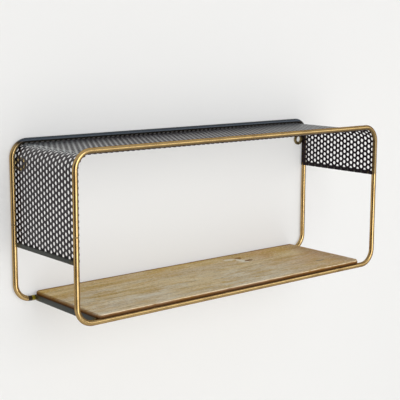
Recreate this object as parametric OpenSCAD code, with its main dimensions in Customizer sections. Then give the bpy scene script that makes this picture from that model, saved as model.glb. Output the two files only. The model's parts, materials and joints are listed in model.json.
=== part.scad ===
// Wall shelf: two bent rod frames, a folded perforated sheet and a wooden plank.
// X runs along the shelf, the front is at -Y, the wall side at +Y and Z points up.
// The origin is on the surface under the bottom rods, in the middle of the shelf.

/* [Overall size] */
// Width over the outsides of the end rods
overall_w = 610; // [460:1:900]
// Height over the outsides of the bottom and top rods
overall_h = 244; // [220:1:400]
// Depth over the outsides of the front and rear rods
overall_d = 174; // [130:1:240]

/* [Rod frames] */
// Diameter of the round rod that both frames are bent from
rod_d = 8; // [7:0.5:12]
// Corner bend radius, to the middle of the rod
corner_r = 25; // [20:1:46]

/* [Perforated sheet] */
// Thickness of the sheet
sheet_t = 1.2; // [0.8:0.1:2]
// Height of the sheet's left end above the bottom
left_end_z = 86; // [50:1:130]
// Height of the sheet's right end above the bottom
right_end_z = 158.5; // [50:0.5:170]
// Diameter of the round holes
hole_d = 6; // [4:0.5:7]
// Distance between neighbouring holes
hole_pitch = 9; // [8.5:0.5:14]
// Gap that the spot welds fill between the rods and the sheet or the rings
weld_gap = 0.1; // [0.05:0.05:0.3]

/* [Cross bars] */
// Height of the two side bars at the sheet's ends
side_bar_h = 6; // [4:0.5:12]
// Thickness of the two side bars
side_bar_t = 4; // [2:0.5:6]
// Height of the base bars under the plank
base_bar_h = 8; // [6:0.5:8]
// Width of the base bars
base_bar_w = 12; // [10:1:20]

/* [Plank] */
// Thickness of the plank, which lies on the bottom rods
plank_t = 6; // [5:0.5:20]
// Distance from the plank's ends to the outsides of the end rods
plank_end_gap = 36; // [30:1:60]
// Distance from the plank's rear edge to the wall
plank_wall_gap = 3; // [1:0.5:3.5]

/* [Hanging rings] */
// Outside diameter of a hanging ring
ring_d = 20; // [16:1:24]
// Bore of a hanging ring, for a wall hook or screw
ring_bore_d = 10; // [6:0.5:12]
// Thickness of a hanging ring
ring_t = 3; // [2:0.5:3.5]
// Distance of a hanging ring's middle below the top
ring_drop = 38; // [30:1:60]

/* [Plank screws] */
// Shank diameter of a countersunk screw
screw_d = 3.5; // [3:0.5:4.5]
// Head diameter of a countersunk screw
head_d = 7; // [6:0.5:9]
// Distance of a screw from the end of its base bar
screw_inset = 29; // [10:1:45]
// How far a screw bites into the plank
screw_bite = 4.5; // [3:0.5:4.5]
// Clearance round a screw in its hole
screw_gap = 0.1; // [0.05:0.05:0.3]

/* [Hidden] */

// How far a cut runs past the face that it opens
cut_past = 1;

// Facets of the round shapes
rod_sides = 48;
bend_sides = 96;
hole_sides = 24;
ring_sides = 64;
screw_sides = 48;

// Rod frames: half sizes to the middle of the rod
rod_r = rod_d / 2;
frame_x = overall_w / 2 - rod_r;
frame_y = overall_d / 2 - rod_r;
low_z = rod_r;
high_z = overall_h - rod_r;
bend_x = frame_x - corner_r;
bend_low_z = low_z + corner_r;
bend_high_z = high_z - corner_r;

// Sheet: it lies along the inner sides of the rods and reaches from frame to frame
sheet_x = frame_x - rod_r - weld_gap;
sheet_z = high_z - rod_r - weld_gap;
fold_r = corner_r - rod_r - weld_gap;
sheet_d = 2 * frame_y;

// Lengths of the sheet's stretches, from the left end over the top to the right end
left_l = bend_high_z - left_end_z;
fold_l = (fold_r - sheet_t / 2) * PI / 2;
top_l = 2 * bend_x;
right_l = bend_high_z - right_end_z;
sheet_l = left_l + fold_l + top_l + fold_l + right_l;

// Holes: staggered lines along the sheet, whose outermost lines are cut open by its edges
hole_line_step = hole_pitch * sqrt(3) / 2;
hole_lines = ceil(sheet_d / hole_line_step);
holes_in_line = floor(sheet_l / hole_pitch);
edge_gap = (sheet_d - (hole_lines - 1) * hole_line_step) / 2;
function hole_share(line) = line % 2 == 0 ? 0.25 : 0.75;

// Cross bars reach from rod to rod
bar_l = 2 * (frame_y - rod_r);

// Plank: it lies on the bottom rods and on the base bars, whose tops are level with the rods
plank_x = min(bend_x, overall_w / 2 - plank_end_gap);
plank_front_y = -overall_d / 2;
plank_d = overall_d - plank_wall_gap;
plank_z = rod_d;
base_bar_z = plank_z - base_bar_h;
base_bar_x = plank_x - base_bar_w / 2;

// Plank screws
screw_y = bar_l / 2 - screw_inset;
screw_l = base_bar_h + screw_bite;
head_h = (head_d - screw_d) / 2;

// Hanging rings: behind the sheet's rear edge, against the rear frame's uprights
ring_x = sheet_x - ring_d / 2;
ring_y = frame_y + weld_gap;
ring_z = min(bend_high_z, overall_h - ring_drop);

brass = "#b9924f";
black_paint = "#2b2529";
dark_steel = "#3d403c";
wood = "#a08763";

// Straight pieces of rod along X and Z
module rod_x(length) {
    rotate([0, 90, 0]) cylinder(d = rod_d, h = length, center = true, $fn = rod_sides);
}
module rod_z(length) { cylinder(d = rod_d, h = length, $fn = rod_sides); }

// A quarter bend of rod, turned about its own middle in the frame's plane
module rod_bend(turn) {
    rotate([90, 0, 0]) rotate(turn) rotate_extrude(angle = 90, $fn = bend_sides)
        translate([corner_r, 0]) circle(d = rod_d, $fn = rod_sides);
}

// One closed frame of rod, in the plane y = 0
module rod_loop() {
    for (z = [low_z, high_z]) translate([0, 0, z]) rod_x(2 * bend_x);
    for (x = [-frame_x, frame_x]) translate([x, 0, bend_low_z]) rod_z(bend_high_z - bend_low_z);
    translate([bend_x, 0, bend_high_z]) rod_bend(0);
    translate([-bend_x, 0, bend_high_z]) rod_bend(90);
    translate([-bend_x, 0, bend_low_z]) rod_bend(180);
    translate([bend_x, 0, bend_low_z]) rod_bend(270);
}

module front_frame() { color(brass) translate([0, -frame_y, 0]) rod_loop(); }
module rear_frame() { color(brass) translate([0, frame_y, 0]) rod_loop(); }

// A quarter fold of the sheet, turned about its own middle
module sheet_fold(turn) {
    rotate([90, 0, 0]) rotate(turn) rotate_extrude(angle = 90, $fn = bend_sides)
        translate([fold_r - sheet_t, -sheet_d / 2]) square([sheet_t, sheet_d]);
}

// The folded sheet before it is drilled
module folded_sheet() {
    translate([-bend_x, -sheet_d / 2, sheet_z - sheet_t]) cube([top_l, sheet_d, sheet_t]);
    translate([-sheet_x, -sheet_d / 2, left_end_z]) cube([sheet_t, sheet_d, left_l]);
    translate([sheet_x - sheet_t, -sheet_d / 2, right_end_z]) cube([sheet_t, sheet_d, right_l]);
    translate([bend_x, 0, bend_high_z]) sheet_fold(0);
    translate([-bend_x, 0, bend_high_z]) sheet_fold(90);
}

// Carries its children to a distance s along the folded sheet, with Z out of its outer face
module along_sheet(s) {
    left_fold = left_l;
    top = left_fold + fold_l;
    right_fold = top + top_l;
    right = right_fold + fold_l;
    if (s < left_fold)
        translate([-sheet_x, 0, left_end_z + s]) rotate([0, -90, 0]) children();
    else if (s < top)
        translate([-bend_x, 0, bend_high_z]) rotate([0, 90 * (s - left_fold) / fold_l - 90, 0])
            translate([0, 0, fold_r]) children();
    else if (s < right_fold)
        translate([s - top - bend_x, 0, sheet_z]) children();
    else if (s < right)
        translate([bend_x, 0, bend_high_z]) rotate([0, 90 * (s - right_fold) / fold_l, 0])
            translate([0, 0, fold_r]) children();
    else
        translate([sheet_x, 0, bend_high_z - (s - right)]) rotate([0, 90, 0]) children();
}

// A line of holes that starts a share of a pitch from the sheet's left end
module hole_line(share) {
    for (k = [0 : holes_in_line - 1]) along_sheet((k + share) * hole_pitch)
        translate([0, 0, -sheet_t - cut_past])
            cylinder(d = hole_d, h = sheet_t + 2 * cut_past, $fn = hole_sides);
}

// A hole that breaks through an edge and an end of the sheet takes the corner between them with it
module corner_cut(s, end_gap, way, side) {
    if (end_gap < hole_d / 2 && edge_gap < hole_d / 2) along_sheet(s)
        translate([way < 0 ? -end_gap - cut_past : 0, side < 0 ? -edge_gap - cut_past : 0,
                -sheet_t - cut_past])
            cube([end_gap + cut_past, edge_gap + cut_past, sheet_t + 2 * cut_past]);
}

// The corner cuts at both ends of an outermost line
module corner_cuts(share, side) {
    last = (holes_in_line - 1 + share) * hole_pitch;
    translate([0, side * (sheet_d / 2 - edge_gap), 0]) {
        corner_cut(share * hole_pitch, share * hole_pitch, -1, side);
        corner_cut(last, sheet_l - last, 1, side);
    }
}

module perforated_sheet() {
    color(black_paint) difference() {
        folded_sheet();
        for (line = [0 : hole_lines - 1])
            translate([0, (line - (hole_lines - 1) / 2) * hole_line_step, 0])
                hole_line(hole_share(line));
        corner_cuts(hole_share(0), -1);
        corner_cuts(hole_share(hole_lines - 1), 1);
    }
}

// A side bar is welded between the frames, against the outside of a sheet end
module side_bar(end_z) {
    translate([-sheet_x - side_bar_t, -bar_l / 2, end_z]) cube([side_bar_t, bar_l, side_bar_h]);
}

module left_side_bar() { color(dark_steel) side_bar(left_end_z); }
module right_side_bar() { color(dark_steel) mirror([1, 0, 0]) side_bar(right_end_z); }

// The places of a base bar's two screws
module at_bar_screws() {
    for (y = [-screw_y, screw_y]) translate([0, y, base_bar_z]) children();
}

// The places of the three base bars
module at_base_bars() {
    for (x = [-base_bar_x, 0, base_bar_x]) translate([x, 0, 0]) children();
}

// A countersunk screw pointing up from the underside of a base bar, or the hole for it
module screw(gap) {
    cylinder(d1 = head_d + 2 * gap, d2 = screw_d + 2 * gap, h = head_h, $fn = screw_sides);
    cylinder(d = screw_d + 2 * gap, h = screw_l + gap, $fn = screw_sides);
}

// A base bar is welded between the bottom rods and drilled for two screws
module base_bar() {
    difference() {
        translate([-base_bar_w / 2, -bar_l / 2, base_bar_z]) cube([base_bar_w, bar_l, base_bar_h]);
        at_bar_screws() screw(screw_gap);
    }
}

module left_base_bar() { color(dark_steel) translate([-base_bar_x, 0, 0]) base_bar(); }
module centre_base_bar() { color(dark_steel) base_bar(); }
module right_base_bar() { color(dark_steel) translate([base_bar_x, 0, 0]) base_bar(); }

module plank() {
    color(wood) difference() {
        translate([-plank_x, plank_front_y, plank_z]) cube([2 * plank_x, plank_d, plank_t]);
        at_base_bars() at_bar_screws() screw(screw_gap);
    }
}

module plank_screws() { color(dark_steel) at_base_bars() at_bar_screws() screw(0); }

module hang_ring() {
    translate([ring_x, ring_y, ring_z]) rotate([-90, 0, 0]) difference() {
        cylinder(d = ring_d, h = ring_t, $fn = ring_sides);
        translate([0, 0, -cut_past])
            cylinder(d = ring_bore_d, h = ring_t + 2 * cut_past, $fn = ring_sides);
    }
}

module left_hang_ring() { color(brass) mirror([1, 0, 0]) hang_ring(); }
module right_hang_ring() { color(brass) hang_ring(); }

front_frame();
rear_frame();
perforated_sheet();
left_side_bar();
right_side_bar();
left_base_bar();
centre_base_bar();
right_base_bar();
plank();
left_hang_ring();
right_hang_ring();
plank_screws();
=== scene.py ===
"""Looks of a wall shelf made of bent brass rod, folded perforated sheet and a rough-sawn plank.

Lengths are in metres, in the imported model's frame: X runs along the shelf, Y to the wall and Z up.
"""

import json
import logging
import math
from abc import ABC, abstractmethod
from collections.abc import Iterator, Mapping, Sequence
from dataclasses import dataclass
from enum import Enum
from typing import Any, Union

import bmesh
import bpy
from mathutils import Matrix, Vector, noise


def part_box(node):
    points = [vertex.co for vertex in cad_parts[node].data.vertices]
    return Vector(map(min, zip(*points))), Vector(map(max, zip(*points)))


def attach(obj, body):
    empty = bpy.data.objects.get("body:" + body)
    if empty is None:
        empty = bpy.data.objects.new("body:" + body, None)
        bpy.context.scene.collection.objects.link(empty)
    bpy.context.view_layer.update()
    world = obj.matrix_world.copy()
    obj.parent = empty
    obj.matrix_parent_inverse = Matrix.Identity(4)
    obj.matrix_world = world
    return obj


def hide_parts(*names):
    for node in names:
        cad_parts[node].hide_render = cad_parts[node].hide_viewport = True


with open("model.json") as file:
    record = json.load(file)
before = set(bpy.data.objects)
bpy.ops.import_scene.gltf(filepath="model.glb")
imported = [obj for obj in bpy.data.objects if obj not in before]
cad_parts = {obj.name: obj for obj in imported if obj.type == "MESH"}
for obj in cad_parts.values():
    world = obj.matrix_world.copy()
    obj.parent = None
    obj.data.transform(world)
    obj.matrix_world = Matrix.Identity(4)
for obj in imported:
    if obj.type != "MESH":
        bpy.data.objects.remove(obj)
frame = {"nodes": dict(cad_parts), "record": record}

LOG = logging.getLogger("shelf")
MM = 0.001
# The bends of the rods, to the rod's middle, and the axes of the top ones
CORNER_RADIUS = 25 * MM
BEND_X = 276 * MM
BEND_Z = 215 * MM
SHARP_DEGREES = 35.0
BODY = "root"

Number = Union[int, float]
Colour = tuple[float, float, float, float]
# Where something starts and where it is full, or its least and its most
Span = tuple[float, float]


class Slot(Enum):
    """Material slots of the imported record."""

    ROD = "brass_rod"
    RING = "brass_ring"
    SHEET = "black_sheet"
    BAR = "dark_bar"
    WOOD = "plank_wood"
    SCREW = "screw_steel"


class End(Enum):
    """An end of the shelf, as the sign of X."""

    LEFT = -1
    RIGHT = 1


class Face(Enum):
    """The front or the wall side of the shelf, as the sign of Y."""

    FRONT = -1
    REAR = 1


def tone(red: int, green: int, blue: int) -> Colour:
    """Turn a colour as a screen shows it into the linear one that shaders use.

    Args:
        red: Red, 0 to 255.
        green: Green, 0 to 255.
        blue: Blue, 0 to 255.

    Returns:
        The linear colour, with an alpha of 1.
    """
    shares = [level / 255 for level in (red, green, blue)]
    linear = [s / 12.92 if s <= 0.04045 else ((s + 0.055) / 1.055) ** 2.4 for s in shares]
    return (linear[0], linear[1], linear[2], 1.0)


class Value:
    """An output socket whose arithmetic adds Math nodes to its tree."""

    def __init__(self, graph: "Graph", socket: bpy.types.NodeSocket) -> None:
        """Wrap a socket of a graph's tree."""
        self.graph = graph
        self.socket = socket

    def _math(self, operation: str, *operands: Union["Value", Number]) -> "Value":
        """Add one Math node."""
        return self.graph.node("ShaderNodeMath", {"operation": operation}, dict(enumerate(operands)))

    def __add__(self, other: Union["Value", Number]) -> "Value":
        """Add a value or a number."""
        return self._math("ADD", self, other)

    def __radd__(self, other: Number) -> "Value":
        """Add to a number."""
        return self._math("ADD", other, self)

    def __sub__(self, other: Union["Value", Number]) -> "Value":
        """Take away a value or a number."""
        return self._math("SUBTRACT", self, other)

    def __rsub__(self, other: Number) -> "Value":
        """Take away from a number."""
        return self._math("SUBTRACT", other, self)

    def __mul__(self, other: Union["Value", Number]) -> "Value":
        """Multiply by a value or a number."""
        return self._math("MULTIPLY", self, other)

    def __rmul__(self, other: Number) -> "Value":
        """Multiply a number."""
        return self._math("MULTIPLY", other, self)

    def __truediv__(self, other: Union["Value", Number]) -> "Value":
        """Divide by a value or a number."""
        return self._math("DIVIDE", self, other)

    def __rtruediv__(self, other: Number) -> "Value":
        """Divide a number."""
        return self._math("DIVIDE", other, self)

    def __mod__(self, other: Union["Value", Number]) -> "Value":
        """Take the remainder of a division."""
        return self._math("FLOORED_MODULO", self, other)

    def __pow__(self, other: Union["Value", Number]) -> "Value":
        """Raise to a power."""
        return self._math("POWER", self, other)

    def __neg__(self) -> "Value":
        """Change the sign."""
        return self._math("MULTIPLY", self, -1)

    def __abs__(self) -> "Value":
        """Drop the sign."""
        return self._math("ABSOLUTE", self)

    def __gt__(self, other: Union["Value", Number]) -> "Value":
        """Give 1 where the value is greater, and 0 elsewhere."""
        return self._math("GREATER_THAN", self, other)

    def __lt__(self, other: Union["Value", Number]) -> "Value":
        """Give 1 where the value is less, and 0 elsewhere."""
        return self._math("LESS_THAN", self, other)

    def between(self, start: Number, stop: Number) -> "Value":
        """Go from one number at 0 to another at 1."""
        return start + self * (stop - start)

    def wave(self) -> "Value":
        """Swing between 0 and 1, once in each step of 1."""
        return (self * math.tau).sine() * 0.5 + 0.5

    def sine(self) -> "Value":
        """Take the sine of an angle in radians."""
        return self._math("SINE", self)

    def cosine(self) -> "Value":
        """Take the cosine of an angle in radians."""
        return self._math("COSINE", self)

    def falloff(self) -> "Value":
        """Give e to the power of minus the value."""
        return self._math("EXPONENT", -self)

    def least(self, other: Union["Value", Number]) -> "Value":
        """Take the smaller of two values."""
        return self._math("MINIMUM", self, other)

    def most(self, other: Union["Value", Number]) -> "Value":
        """Take the larger of two values."""
        return self._math("MAXIMUM", self, other)

    def step(self, start: Number, stop: Number) -> "Value":
        """Rise smoothly from 0 at start to 1 at stop, which may be the lower one.

        Args:
            start: The value that gives 0.
            stop: The value that gives 1.

        Returns:
            The smooth step.
        """
        settings = {"interpolation_type": "SMOOTHSTEP"}
        return self.graph.node("ShaderNodeMapRange", settings, {0: self, 1: start, 2: stop})


def weighted(values: Sequence[Value], weights: Sequence[float]) -> Value:
    """Add up values, each times its own weight.

    Args:
        values: The values.
        weights: A weight for each.

    Returns:
        The sum.
    """
    return sum(value * weight for value, weight in zip(values, weights))


class Graph:
    """A node tree that is written as expressions."""

    def __init__(self, tree: bpy.types.NodeTree) -> None:
        """Wrap a node tree."""
        self.tree = tree

    @classmethod
    def emptied(cls, owner: Union[bpy.types.Material, bpy.types.World]) -> "Graph":
        """Give the emptied node tree of a material or a world.

        Args:
            owner: The material or world.

        Returns:
            Its graph.
        """
        owner.use_nodes = True
        owner.node_tree.nodes.clear()
        return cls(owner.node_tree)

    def node(
        self,
        kind: str,
        settings: Mapping[str, Any] | None = None,
        inputs: Mapping[Union[int, str], Any] | None = None,
        output: Union[int, str] = 0,
    ) -> Value | None:
        """Add a node, set it up and feed its sockets.

        Args:
            kind: The node's type.
            settings: The node's own settings, set first.
            inputs: A number, a value or a list of values for each socket, by name or place.
            output: The output socket to return, by name or place.

        Returns:
            The output socket, or nothing for a node that has none.
        """
        made = self.tree.nodes.new(kind)
        for name, setting in (settings or {}).items():
            setattr(made, name, setting)
        for key, given in (inputs or {}).items():
            socket = made.inputs[key]
            feeds = given if isinstance(given, list) else [given]
            for feed in feeds:
                if isinstance(feed, Value):
                    self.tree.links.new(feed.socket, socket)
                else:
                    socket.default_value = feed
        return Value(self, made.outputs[output]) if made.outputs else None

    def place(self) -> Value:
        """Give the point on the piece, in the model's frame."""
        return self.node("ShaderNodeTexCoord", output="Object")

    def parts(self, vector: Value) -> tuple[Value, Value, Value]:
        """Split a vector into X, Y and Z.

        Args:
            vector: The vector to split.

        Returns:
            Its three parts.
        """
        split = self.node("ShaderNodeSeparateXYZ", inputs={0: vector})
        sockets = split.socket.node.outputs
        return Value(self, sockets[0]), Value(self, sockets[1]), Value(self, sockets[2])

    def vector(self, *parts: Union[Value, Number]) -> Value:
        """Join X, Y and Z into a vector."""
        return self.node("ShaderNodeCombineXYZ", inputs=dict(enumerate(parts)))

    def noise(self, place: Value, grain: "Grain") -> Value:
        """Read a noise at a point.

        Args:
            place: The point.
            grain: The noise's scale and octaves.

        Returns:
            The noise, about 0 to 1.
        """
        scales = grain.scale if isinstance(grain.scale, tuple) else (grain.scale,) * 3
        stretched = self.node("ShaderNodeVectorMath", {"operation": "MULTIPLY"}, {0: place, 1: scales})
        feeds = {"Vector": stretched, "Scale": 1.0, "Detail": grain.detail, "Roughness": grain.roughness}
        return self.node("ShaderNodeTexNoise", inputs=feeds)

    def mix(self, share: Union[Value, Number], first: Any, second: Any) -> Value:
        """Blend two colours.

        Args:
            share: How much of the second colour shows.
            first: The first colour.
            second: The second colour.

        Returns:
            The blended colour.
        """
        return self.node("ShaderNodeMix", {"data_type": "RGBA"}, {0: share, 6: first, 7: second}, 2)

    def bump(self, height: Value, depth: float, strength: float = 1.0) -> Value:
        """Turn a height into a normal.

        Args:
            height: The height, about 0 to 1.
            depth: The depth that a height of 1 stands for, in metres.
            strength: How much of the bump shows.

        Returns:
            The bumped normal.
        """
        feeds = {"Strength": strength, "Distance": depth, "Height": height}
        return self.node("ShaderNodeBump", inputs=feeds)


@dataclass(frozen=True)
class Grain:
    """A noise: its cells per metre, for all axes or for each, and the number and strength of its octaves."""

    scale: Union[float, tuple[float, float, float]]
    detail: float = 3.0
    roughness: float = 0.5


@dataclass(frozen=True)
class Wear:
    """Wear that shows where the weighted sum of a broad noise and a fine one is high."""

    broad: Grain
    fine: Grain
    broad_weight: float
    fine_weight: float
    span: Span

    def read(self, graph: Graph, place: Value) -> tuple[Value, Value, Value]:
        """Read both noises and the wear at a point.

        Args:
            graph: The material's graph.
            place: The point.

        Returns:
            The broad noise, the fine noise and the wear.
        """
        broad = graph.noise(place, self.broad)
        fine = graph.noise(place, self.fine)
        return broad, fine, (broad * self.broad_weight + fine * self.fine_weight).step(*self.span)


@dataclass(frozen=True)
class Stain:
    """A colour that comes in over a span of some value, up to a share."""

    colour: Colour
    span: Span
    share: float

    def over(self, graph: Graph, value: Value, base: Any, limit: Union[Value, Number] = 1.0) -> Value:
        """Lay the stain over a colour.

        Args:
            graph: The material's graph.
            value: The value that brings the stain in.
            base: The colour so far.
            limit: A mask that the stain keeps to.

        Returns:
            The stained colour.
        """
        return graph.mix(value.step(*self.span) * (limit * self.share), base, self.colour)


@dataclass(frozen=True)
class Spot:
    """An oval spot on the plank's top, with its half length along X and its half width along Y."""

    x: float
    y: float
    length: float
    width: float

    def share(self, x: Value, y: Value, grow: float = 1.0) -> Value:
        """Give a soft mask of the spot.

        Args:
            x: The point's X.
            y: The point's Y.
            grow: How many times as large the mask is.

        Returns:
            1 in the spot's middle, falling to 0.
        """
        along = (x - self.x) / (self.length * grow)
        across = (y - self.y) / (self.width * grow)
        return (along * along + across * across).falloff()


@dataclass(frozen=True)
class ShelfSizes:
    """The shelf's own sizes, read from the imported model, and the bend radius to the middle of the rod."""

    rod_radius: float
    frame_x: float
    frame_y: float
    low_z: float
    high_z: float
    corner_radius: float = CORNER_RADIUS

    @classmethod
    def measure(cls) -> "ShelfSizes":
        """Read the sizes from the box of the front frame.

        Returns:
            The sizes.
        """
        low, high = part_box("front_frame")
        radius = (high.y - low.y) / 2
        return cls(
            rod_radius=radius,
            frame_x=high.x - radius,
            frame_y=-(low.y + radius),
            low_z=low.z + radius,
            high_z=high.z - radius,
        )

    @property
    def bend_x(self) -> float:
        """Give how far from the middle the corners begin."""
        return self.frame_x - self.corner_radius

    @property
    def bend_high_z(self) -> float:
        """Give the height at which the top corners begin."""
        return self.high_z - self.corner_radius


def bend_reach(x: Value, z: Value) -> Value:
    """Measure how far a point lies outside the box between the axes of the top bends.

    Args:
        x: The point's X.
        z: The point's Z.

    Returns:
        The distance, which is the corner radius along the middle of the rod.
    """
    past_x = (abs(x) - BEND_X).most(0.0)
    past_z = (z - BEND_Z).most(0.0)
    return (past_x * past_x + past_z * past_z) ** 0.5


class Finish(ABC):
    """A procedural material, made once and shared by the pieces that wear it."""

    name: str

    @abstractmethod
    def sockets(self, graph: Graph) -> dict[str, Any]:
        """Give the values and links of the shader's sockets."""

    def material(self) -> bpy.types.Material:
        """Make the material, or find it if it is made already.

        Returns:
            The material.
        """
        found = bpy.data.materials.get(self.name)
        if found:
            return found
        made = bpy.data.materials.new(self.name)
        graph = Graph.emptied(made)
        shader = graph.node("ShaderNodeBsdfPrincipled", inputs=self.sockets(graph))
        graph.node("ShaderNodeOutputMaterial", inputs={"Surface": shader})
        return made


@dataclass(frozen=True)
class Soot:
    """Black on the rear frame's top run, upper right upright and a stretch by the plank's left end. The top
    run's bluish tone is a painted reflection and its lower side is painted shade; a greyer painted
    reflection sits on the left upright's inner side.
    """

    black_with_painted_sheen: Colour = tone(48, 66, 82)
    near_black: Colour = tone(20, 16, 12)
    patina: Colour = tone(150, 136, 26)
    grey_painted_reflection: Colour = tone(104, 114, 104)
    grey_painted_reflection_z: Span = (0.16, 0.2)
    upright_fade: float = 6 * MM
    upright_share: float = 0.9

    # Top run, black with a painted bluish reflection, and painted shade along its lower side
    top_x: Span = (-0.304, -0.289)
    top_z: Span = (0.216, 0.231)
    top_share: float = 0.96
    top_dulling: float = 0.35
    under_painted_shade_z: Span = (0.2402, 0.2386)

    # Low stretch, with a patch of patina
    low_start_x: Span = (-0.2825, -0.281)
    low_stop_x: Span = (-0.258, -0.264)
    low_z: Span = (0.02, 0.014)
    low_share: float = 0.95
    low_dulling: float = 0.7
    patina_x: float = -0.2728
    patina_fade: Span = (3.2 * MM, 2 * MM)
    crisp_share: float = 0.3

    def cover(
        self, graph: Graph, place: Value, ragged: Value, colour: Value, metallic: Value,
    ) -> tuple[Value, Value]:
        """Blacken the top run, with a painted bluish reflection and painted shade along its lower side, and
        the low stretch.

        Args:
            graph: The material's graph.
            place: The point on the rod.
            ragged: How far the black's edges stray there.
            colour: The colour so far.
            metallic: How metallic the rod is so far.

        Returns:
            The blackened colour, and how metallic it is.
        """
        x, _, z = graph.parts(place)
        top = (x + ragged).step(*self.top_x) * (z + ragged).step(*self.top_z) * self.top_share
        # Painted reflection and shade: bluish black on the top run, going to near black as painted shade
        # below its middle
        colour = graph.mix(top, colour, graph.mix(z.step(*self.under_painted_shade_z), self.black_with_painted_sheen, self.near_black))
        crisp_x = x + ragged * self.crisp_share
        low = crisp_x.step(*self.low_start_x) * z.step(*self.low_z) * (x + ragged).step(*self.low_stop_x)
        patina = abs(crisp_x - self.patina_x).step(*self.patina_fade)
        colour = graph.mix(low * self.low_share, colour, graph.mix(patina, self.near_black, self.patina))
        return colour, metallic * (1 - top * self.top_dulling) * (1 - low * self.low_dulling)


@dataclass(frozen=True)
class AgedBrass(Finish):
    """Antique brass plating, browned in streaks, with a butt weld across the left upright.

    The sides that face the sheet, above its ends, are darkened as painted shade.
    """

    name: str
    seam_z: float
    soot: Soot | None = None
    gold: Colour = tone(200, 169, 112)
    brown: Colour = tone(98, 62, 14)
    weld: Colour = tone(52, 34, 18)
    sheet_side_dark: Colour = tone(48, 36, 18)
    edge_tint: Colour = tone(132, 88, 30)
    tarnish: Wear = Wear(Grain(34.0, 4.0, 0.6), Grain(1100.0, 2.0), 0.8, 0.3, (0.45, 0.85))
    tarnish_share: float = 0.55
    roughness: Span = (0.17, 0.29)
    ragged: Grain = Grain(160.0)
    ragged_reach: float = 6 * MM

    # Butt weld
    seam_x: float = -0.29
    seam_fade: Span = (1.12 * MM, 0.42 * MM)
    seam_share: float = 0.6
    seam_roughness: float = 0.3
    seam_dulling: float = 0.3

    # Painted shade on the sides that face the sheet, above its ends
    left_end_z: float = 0.086
    right_end_z: float = 0.1585
    end_fade: Span = (-2 * MM, 4 * MM)
    inner_fade: float = 2 * MM
    sheet_side_dark_share: float = 0.7
    sheet_side_dark_roughness: float = 0.1
    sheet_side_dark_dulling: float = 0.6

    # Surface, with the relief of flecks, clouds and weld
    relief: tuple[float, float, float] = (0.5, 0.3, -4.0)
    relief_depth: float = 0.06 * MM
    lacquer: float = 0.35
    lacquer_roughness: float = 0.14

    def sockets(self, graph: Graph) -> dict[str, Any]:
        """Give the values and links of the shader's sockets."""
        place = graph.place()
        x, _, z = graph.parts(place)
        cloud, fleck, tarnish = self.tarnish.read(graph, place)
        seam = abs(z - self.seam_z).step(*self.seam_fade) * (x < self.seam_x)
        ragged = (graph.noise(place, self.ragged) - 0.5) * self.ragged_reach
        sheet_side_dark, sheet_side_dark_tone = self._sheet_side_dark(graph, x, z, ragged)
        colour = graph.mix(tarnish * self.tarnish_share, self.gold, self.brown)
        colour = graph.mix(seam * self.seam_share, colour, self.weld)
        colour = graph.mix(sheet_side_dark, colour, sheet_side_dark_tone)
        roughness = tarnish.between(*self.roughness)
        metallic = 1 - seam * self.seam_dulling - sheet_side_dark * self.sheet_side_dark_dulling
        if self.soot:
            colour, metallic = self.soot.cover(graph, place, ragged, colour, metallic)
        return {
            "Base Color": colour,
            "Metallic": metallic,
            "Roughness": roughness + seam * self.seam_roughness + sheet_side_dark * self.sheet_side_dark_roughness,
            "Specular Tint": self.edge_tint,
            "Coat Weight": self.lacquer,
            "Coat Roughness": self.lacquer_roughness,
            "Normal": graph.bump(weighted((fleck, cloud, seam), self.relief), self.relief_depth),
        }

    def _sheet_side_dark(self, graph: Graph, x: Value, z: Value, ragged: Value) -> tuple[Value, Any]:
        """Find the sides of the rods that face the sheet, above its ends, which are darkened as painted
        shade; on the rear frame also the upper right upright, which is darkened.

        Args:
            graph: The material's graph.
            x: The point's X.
            z: The point's Z.
            ragged: How far the darkening's edges stray there.

        Returns:
            How dark they are, and the colour, which has a greyer painted reflection on the rear frame's left
            upright.
        """
        inner = bend_reach(x, z).step(CORNER_RADIUS, CORNER_RADIUS - self.inner_fade)
        left = (x < 0) * (z - self.left_end_z).step(*self.end_fade)
        right = (x > 0) * (z - self.right_end_z).step(*self.end_fade)
        sheet_side_dark = inner * left.most(right) * self.sheet_side_dark_share
        if not self.soot:
            return sheet_side_dark, self.sheet_side_dark
        upright = (x > BEND_X) * (z + ragged - self.right_end_z).step(0.0, self.soot.upright_fade)
        # Painted reflection: a greyer tone on the rear frame's left upright, below its top corner
        sheet_side_dark_tone = graph.mix((x < 0) * z.step(*self.soot.grey_painted_reflection_z), self.sheet_side_dark, self.soot.grey_painted_reflection)
        return sheet_side_dark.most(upright * self.soot.upright_share), sheet_side_dark_tone


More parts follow.
